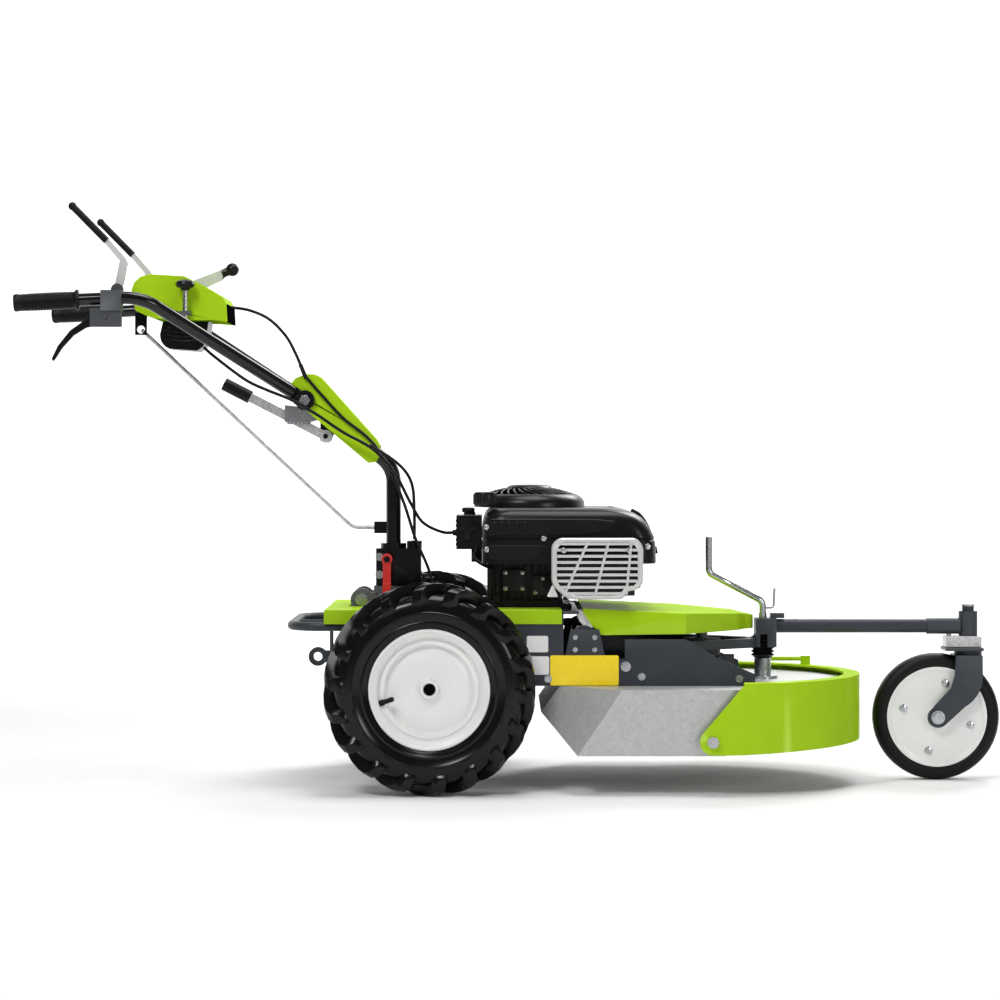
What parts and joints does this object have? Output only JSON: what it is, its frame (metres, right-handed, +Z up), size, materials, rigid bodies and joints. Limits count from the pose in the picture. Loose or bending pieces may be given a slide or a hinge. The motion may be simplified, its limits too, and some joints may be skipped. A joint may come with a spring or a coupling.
{
  "type": "brush mower",
  "caption": "Walk-behind brush mower: driven lugged wheels, vertical engine, belt-driven rotary blade under a deck, hinged guard, front caster and tilting handlebar.",
  "frame": {"origin": "on the ground under the middle of the machine's bounding box, on its centre plane", "axes": "+X forward, from the grips to the front caster; +Y to the machine's left; +Z up"},
  "size_m": [1.9557, 0.656, 1.1512],
  "materials": {
    "charcoal_paint": "satin powder coat",
    "green_paint": "gloss powder coat",
    "black_paint": "gloss powder coat",
    "black_plastic": "moulded, fine grain",
    "green_plastic": "moulded gloss",
    "rubber": "soft matt",
    "tyre": "matt rubber with lugs",
    "white_paint": "gloss enamel",
    "zinc": "bright zinc plate",
    "galvanised": "galvanised sheet with faint spangle",
    "steel": "ground steel",
    "cast_grey": "painted casting",
    "cast_aluminium": "black painted die casting",
    "silver_paint": "heat resistant silver",
    "red_paint": "gloss powder coat",
    "belt_rubber": "wrapped rubber"
  },
  "bodies": {
    "chassis": {"side_plate_right": "charcoal_paint", "side_plate_left": "charcoal_paint", "chassis_plates": "charcoal_paint", "deck_pan": "galvanised", "gearbox_case": "cast_grey", "rear_bumper": "charcoal_paint", "engine_crankcase": "cast_aluminium", "engine_shroud": "black_plastic", "cooling_dome": "black_plastic", "muffler": "steel", "muffler_guard": "silver_paint", "air_filter_box": "black_plastic", "front_cover": "green_paint", "rear_cover": "green_paint", "drive_belt": "belt_rubber", "blade_belt": "belt_rubber", "bearing_housing": "cast_grey", "chassis_fasteners": "zinc", "spindle_foot": "zinc", "bellows": "rubber", "cables_lower": "rubber"},
    "fuel_cap": {"fuel_cap": "black_plastic"},
    "engine_rotor": {"crankshaft": "zinc", "crank_pulleys": "zinc"},
    "blade_rotor": {"blade_spindle": "zinc", "blade": "steel"},
    "gearbox_input": {"input_pulley": "zinc"},
    "wheel_right": {"tyre_right": "tyre", "rim_right": "white_paint", "axle_right": "zinc"},
    "wheel_left": {"tyre_left": "tyre", "rim_left": "white_paint", "axle_left": "zinc"},
    "column": {"column_tube": "black_paint", "column_socket": "black_paint", "tilt_hinge": "black_paint", "mid_cover": "green_plastic", "cables_upper": "rubber"},
    "column_lock_lever": {"column_lock_lever": "red_paint"},
    "tilt_lever": {"tilt_lever": "zinc"},
    "brace_rod": {"brace_rod": "zinc"},
    "handlebar": {"handlebar_tube": "black_paint", "console_shell": "green_plastic", "lower_housing": "black_plastic", "grip_right": "rubber", "grip_left": "rubber", "lever_brackets": "black_plastic"},
    "drive_clutch_lever": {"drive_clutch_lever": "zinc"},
    "blade_clutch_lever": {"blade_clutch_lever": "zinc"},
    "brake_lever": {"brake_lever": "black_paint"},
    "gear_lever": {"gear_lever": "black_plastic"},
    "throttle_knob": {"throttle_knob": "black_plastic"},
    "front_arm": {"front_arm": "charcoal_paint", "caster_lock_block": "zinc"},
    "height_crank": {"height_crank": "zinc"},
    "caster": {"caster_fork": "charcoal_paint"},
    "caster_lock_pin": {"caster_lock_pin": "zinc"},
    "front_wheel": {"front_tyre": "rubber", "front_disc": "white_paint"},
    "guard": {"front_guard": "green_paint"}
  },
  "joints": [
    {"name": "rear_wheel_right_spin", "type": "hinge", "parent": "chassis", "child": "wheel_right", "pos_m": [-0.17, -0.275, 0.205], "axis": [0, 1, 0], "continuous": true},
    {"name": "rear_wheel_left_spin", "type": "hinge", "parent": "chassis", "child": "wheel_left", "pos_m": [-0.17, 0.275, 0.205], "axis": [0, 1, 0], "continuous": true},
    {"name": "engine_spin", "type": "hinge", "parent": "chassis", "child": "engine_rotor", "pos_m": [0.025, 0, 0.4], "axis": [0, 0, 1], "continuous": true},
    {"name": "blade_spin", "type": "hinge", "parent": "chassis", "child": "blade_rotor", "pos_m": [0.374, 0, 0.25], "axis": [0, 0, 1], "continuous": true},
    {"name": "gearbox_input_spin", "type": "hinge", "parent": "chassis", "child": "gearbox_input", "pos_m": [-0.15, 0, 0.3], "axis": [0, 0, 1], "continuous": true},
    {"name": "fuel_cap_turn", "type": "hinge", "parent": "chassis", "child": "fuel_cap", "pos_m": [-0.064, -0.13, 0.56], "axis": [0, 0, 1], "range_deg": [0, 90]},
    {"name": "column_swivel", "type": "hinge", "parent": "chassis", "child": "column", "pos_m": [-0.25, 0, 0.41], "axis": [0, 0, 1], "range_deg": [-20, 20], "deforming": ["cables_lower"]},
    {"name": "column_lock", "type": "hinge", "parent": "column", "child": "column_lock_lever", "pos_m": [-0.26, -0.09, 0.448], "axis": [0, 1, 0], "range_deg": [0, 45]},
    {"name": "handlebar_tilt", "type": "hinge", "parent": "column", "child": "handlebar", "pos_m": [-0.4275, 0, 0.7664], "axis": [0, -1, 0], "range_deg": [0, 30], "deforming": ["cables_upper"]},
    {"name": "brace_rod_swing", "type": "hinge", "parent": "column", "child": "brace_rod", "pos_m": [-0.27, 0.028, 0.509], "axis": [0, -1, 0], "range_deg": [0, 16.6]},
    {"name": "tilt_lock", "type": "hinge", "parent": "column", "child": "tilt_lever", "pos_m": [-0.387, 0, 0.694], "axis": [0, 1, 0], "range_deg": [0, 12], "stiffness_Nm_per_rad": 4, "springref_deg": -20.05},
    {"name": "drive_clutch", "type": "hinge", "parent": "handlebar", "child": "drive_clutch_lever", "pos_m": [-0.782, -0.199, 0.979], "axis": [0, -1, 0], "range_deg": [0, 55], "stiffness_Nm_per_rad": 1.5, "springref_deg": -28.65},
    {"name": "blade_clutch", "type": "hinge", "parent": "handlebar", "child": "blade_clutch_lever", "pos_m": [-0.782, 0.199, 0.979], "axis": [0, -1, 0], "range_deg": [0, 55], "stiffness_Nm_per_rad": 1.5, "springref_deg": -28.65},
    {"name": "brake", "type": "hinge", "parent": "handlebar", "child": "brake_lever", "pos_m": [-0.8, -0.24, 0.925], "axis": [0, 1, 0], "range_deg": [0, 25], "stiffness_Nm_per_rad": 1.5, "springref_deg": -22.92},
    {"name": "gear_shift", "type": "hinge", "parent": "handlebar", "child": "gear_lever", "pos_m": [-0.67, 0.025, 0.96], "axis": [0, 1, 0], "range_deg": [-10, 10]},
    {"name": "throttle_push", "type": "slide", "parent": "handlebar", "child": "throttle_knob", "axis": [0, 0, -1], "range_m": [0, 0.015]},
    {"name": "front_arm_lift", "type": "hinge", "parent": "chassis", "child": "front_arm", "pos_m": [0.132, 0, 0.295], "axis": [0, -1, 0], "range_deg": [-2.2, 2.2], "deforming": ["bellows"]},
    {"name": "height_crank_turn", "type": "hinge", "parent": "front_arm", "child": "height_crank", "pos_m": [0.498, 0, 0.35], "axis": [0, 0, 1], "range_deg": [-1680, 1680]},
    {"name": "caster_swivel", "type": "hinge", "parent": "front_arm", "child": "caster", "pos_m": [0.914, 0, 0.3], "axis": [0, 0, 1], "continuous": true},
    {"name": "caster_lock", "type": "slide", "parent": "front_arm", "child": "caster_lock_pin", "axis": [0, 0, 1], "range_m": [0, 0.01], "stiffness_N_per_m": 300, "springref_m": -0.01},
    {"name": "front_wheel_spin", "type": "hinge", "parent": "caster", "child": "front_wheel", "pos_m": [0.848, 0, 0.1275], "axis": [0, 1, 0], "continuous": true},
    {"name": "guard_tilt", "type": "hinge", "parent": "chassis", "child": "guard", "pos_m": [0.374, 0, 0.105], "axis": [0, -1, 0], "range_deg": [0, 9]}
  ],
  "couplings": [
    {"joint": "blade_spin", "follows": "engine_spin", "ratio": 0.448},
    {"joint": "gearbox_input_spin", "follows": "engine_spin", "ratio": 0.6642},
    {"joint": "brace_rod_swing", "follows": "handlebar_tilt", "ratio": 0.55},
    {"joint": "front_arm_lift", "follows": "height_crank_turn", "ratio": 0.0013045}
  ]
}
